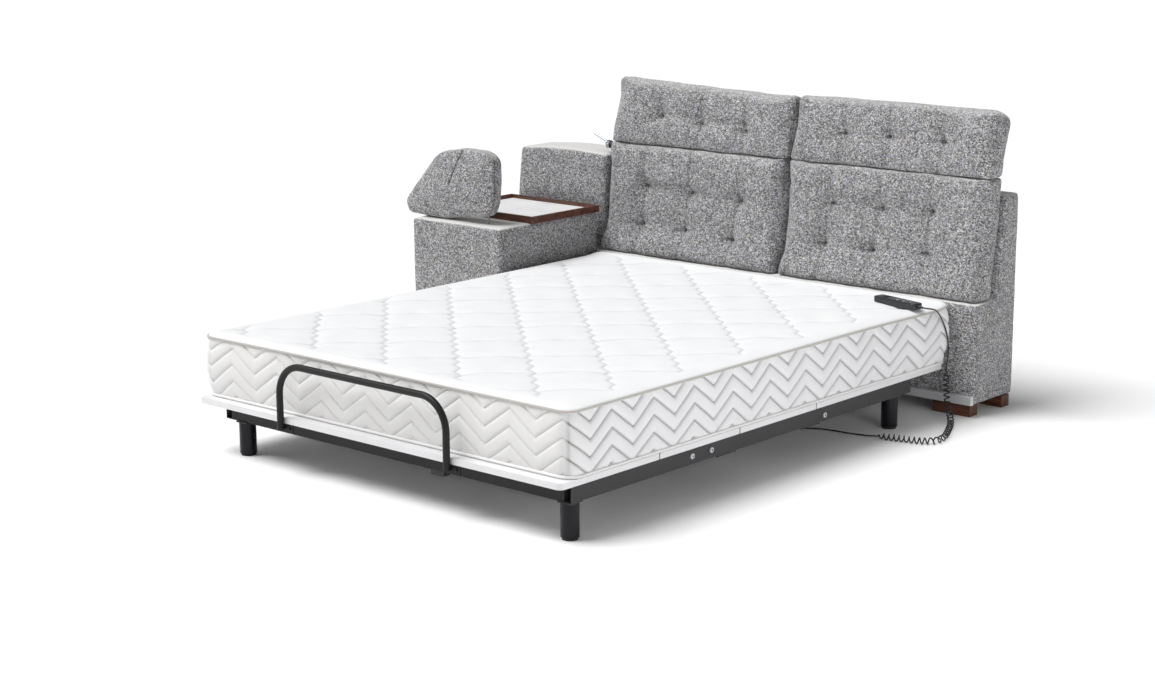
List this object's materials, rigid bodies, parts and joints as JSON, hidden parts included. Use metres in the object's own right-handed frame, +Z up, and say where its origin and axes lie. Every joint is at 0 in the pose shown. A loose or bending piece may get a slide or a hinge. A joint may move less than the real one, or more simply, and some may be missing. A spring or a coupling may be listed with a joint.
{
  "type": "adjustable bed base",
  "caption": "Powered adjustable bed: steel base with hinged deck sections, mattress with retainer bar, wired handset, tufted headboard with headrests, side cabinet with tray.",
  "frame": {"origin": "on the floor under the middle of the object's box, cords left out", "axes": "+Z up, +Y from the foot of the bed to the head, +X to the right of a sleeper lying on their back seen from the foot end"},
  "size_m": [2.3849, 2.307, 1.0402],
  "materials": {
    "black_steel": "satin powder coat",
    "zinc_steel": "zinc plated",
    "deck_white": "white laminated panel",
    "black_plastic": "fine texture",
    "gloss_black": "smooth",
    "button_grey": "soft touch",
    "glide_rubber": "matte",
    "mattress_cover": "quilted knit",
    "tweed": "salt and pepper tweed",
    "aluminium": "satin anodised",
    "dark_wood": "dark brown stain",
    "tray_white": "white laminate",
    "lamp_silver": "satin chrome",
    "cord_black": "pvc"
  },
  "bodies": {
    "base": {"side_rail_right": "black_steel", "side_rail_left": "black_steel", "foot_rail": "black_steel", "head_rail": "black_steel", "cross_tubes": "black_steel", "frame_plates": "black_steel", "rail_bolts": "zinc_steel", "legs": "black_steel", "leg_glides": "glide_rubber", "foot_rail_bracket": "black_steel", "seat_deck": "deck_white", "seat_hinges": "zinc_steel", "back_actuator": "black_plastic", "thigh_actuator": "black_plastic", "control_box": "black_plastic", "mattress_seat": "mattress_cover", "mattress_fold_back": "mattress_cover", "mattress_fold_thigh": "mattress_cover", "headboard_body": "tweed", "headboard_rail": "aluminium", "headboard_feet": "dark_wood", "back_cushion_left": "tweed", "back_cushion_right": "tweed", "low_back_block": "tweed", "cabinet": "tweed", "tray_rim": "dark_wood", "tray_top": "tray_white", "lamp_base": "black_plastic", "curly_cord": "cord_black", "handset_lead": "cord_black", "control_lead": "cord_black"},
    "back": {"back_deck": "deck_white", "back_subframe": "black_steel", "mattress_back": "mattress_cover", "handset_body": "gloss_black", "handset_hook": "zinc_steel", "strain_relief": "cord_black"},
    "thigh": {"thigh_deck": "deck_white", "thigh_subframe": "black_steel", "mattress_thigh": "mattress_cover"},
    "calf": {"calf_deck": "deck_white", "calf_subframe": "black_steel", "mattress_calf": "mattress_cover", "retainer_bar": "black_steel", "retainer_brackets": "black_steel"},
    "back_lift": {"back_lift_shaft": "black_steel"},
    "back_rollers": {"back_lift_rollers": "black_plastic"},
    "thigh_lift": {"thigh_lift_shaft": "black_steel"},
    "thigh_rollers": {"thigh_lift_rollers": "black_plastic"},
    "back_rod": {"back_actuator_rod": "zinc_steel"},
    "thigh_rod": {"thigh_actuator_rod": "zinc_steel"},
    "headrest_l": {"headrest_left": "tweed"},
    "headrest_r": {"headrest_right": "tweed"},
    "side_rest": {"side_cushion": "tweed", "cushion_stays": "zinc_steel"},
    "lamp": {"lamp_head": "lamp_silver"},
    "button_back_up": {"button_back_up": "button_grey"},
    "button_back_down": {"button_back_down": "button_grey"},
    "button_legs_up": {"button_legs_up": "button_grey"},
    "button_legs_down": {"button_legs_down": "button_grey"}
  },
  "joints": [
    {"name": "back_raise", "type": "hinge", "parent": "base", "child": "back", "pos_m": [0.26146, 0.1065, 0.18], "axis": [1, 0, 0], "range_deg": [0, 60], "deforming": ["mattress_fold_back"]},
    {"name": "thigh_raise", "type": "hinge", "parent": "base", "child": "thigh", "pos_m": [0.26146, -0.3005, 0.18], "axis": [-1, 0, 0], "range_deg": [0, 35], "deforming": ["mattress_fold_thigh"]},
    {"name": "calf_fold", "type": "hinge", "parent": "thigh", "child": "calf", "pos_m": [0.26146, -0.6915, 0.161], "axis": [1, 0, 0], "range_deg": [0, 45.01]},
    {"name": "back_lift_turn", "type": "hinge", "parent": "base", "child": "back_lift", "pos_m": [0.26146, 0.1065, 0.124], "axis": [1, 0, 0], "range_deg": [0, 56.01]},
    {"name": "back_roller_spin", "type": "hinge", "parent": "back_lift", "child": "back_rollers", "pos_m": [0.26146, 0.5065, 0.124], "axis": [1, 0, 0], "continuous": true},
    {"name": "thigh_lift_turn", "type": "hinge", "parent": "base", "child": "thigh_lift", "pos_m": [0.26146, -0.3005, 0.124], "axis": [-1, 0, 0], "range_deg": [0, 32.81]},
    {"name": "thigh_roller_spin", "type": "hinge", "parent": "thigh_lift", "child": "thigh_rollers", "pos_m": [0.26146, -0.5505, 0.124], "axis": [1, 0, 0], "continuous": true},
    {"name": "back_rod_slide", "type": "slide", "parent": "base", "child": "back_rod", "axis": [0, 1, 0], "range_m": [0, 0.07976]},
    {"name": "thigh_rod_slide", "type": "slide", "parent": "base", "child": "thigh_rod", "axis": [0, -1, 0], "range_m": [0, 0.04415]},
    {"name": "headrest_left_tilt", "type": "hinge", "parent": "base", "child": "headrest_l", "pos_m": [-0.17054, 0.99602, 0.845], "axis": [1, 0, 0], "range_deg": [0, 35]},
    {"name": "headrest_right_tilt", "type": "hinge", "parent": "base", "child": "headrest_r", "pos_m": [0.69546, 0.99602, 0.845], "axis": [1, 0, 0], "range_deg": [0, 35]},
    {"name": "side_cushion_lift", "type": "slide", "parent": "base", "child": "side_rest", "axis": [0, 0, 1], "range_m": [0, 0.06]},
    {"name": "lamp_swivel", "type": "hinge", "parent": "base", "child": "lamp", "pos_m": [-0.62254, 1.0085, 0.803], "axis": [1, 0, 0], "range_deg": [-80, 80]},
    {"name": "button_back_up_press", "type": "slide", "parent": "back", "child": "button_back_up", "axis": [0, 0, -1], "range_m": [0, 0.0015], "stiffness_N_per_m": 400},
    {"name": "button_back_down_press", "type": "slide", "parent": "back", "child": "button_back_down", "axis": [0, 0, -1], "range_m": [0, 0.0015], "stiffness_N_per_m": 400},
    {"name": "button_legs_up_press", "type": "slide", "parent": "back", "child": "button_legs_up", "axis": [0, 0, -1], "range_m": [0, 0.0015], "stiffness_N_per_m": 400},
    {"name": "button_legs_down_press", "type": "slide", "parent": "back", "child": "button_legs_down", "axis": [0, 0, -1], "range_m": [0, 0.0015], "stiffness_N_per_m": 400}
  ],
  "couplings": [
    {"joint": "calf_fold", "follows": "thigh_raise", "ratio": 1.2857},
    {"joint": "back_lift_turn", "follows": "back_raise", "ratio": 0.93333},
    {"joint": "thigh_lift_turn", "follows": "thigh_raise", "ratio": 0.93714},
    {"joint": "back_rod_slide", "follows": "back_raise", "m_per_rad": 0.07616},
    {"joint": "thigh_rod_slide", "follows": "thigh_raise", "m_per_rad": 0.07227}
  ]
}
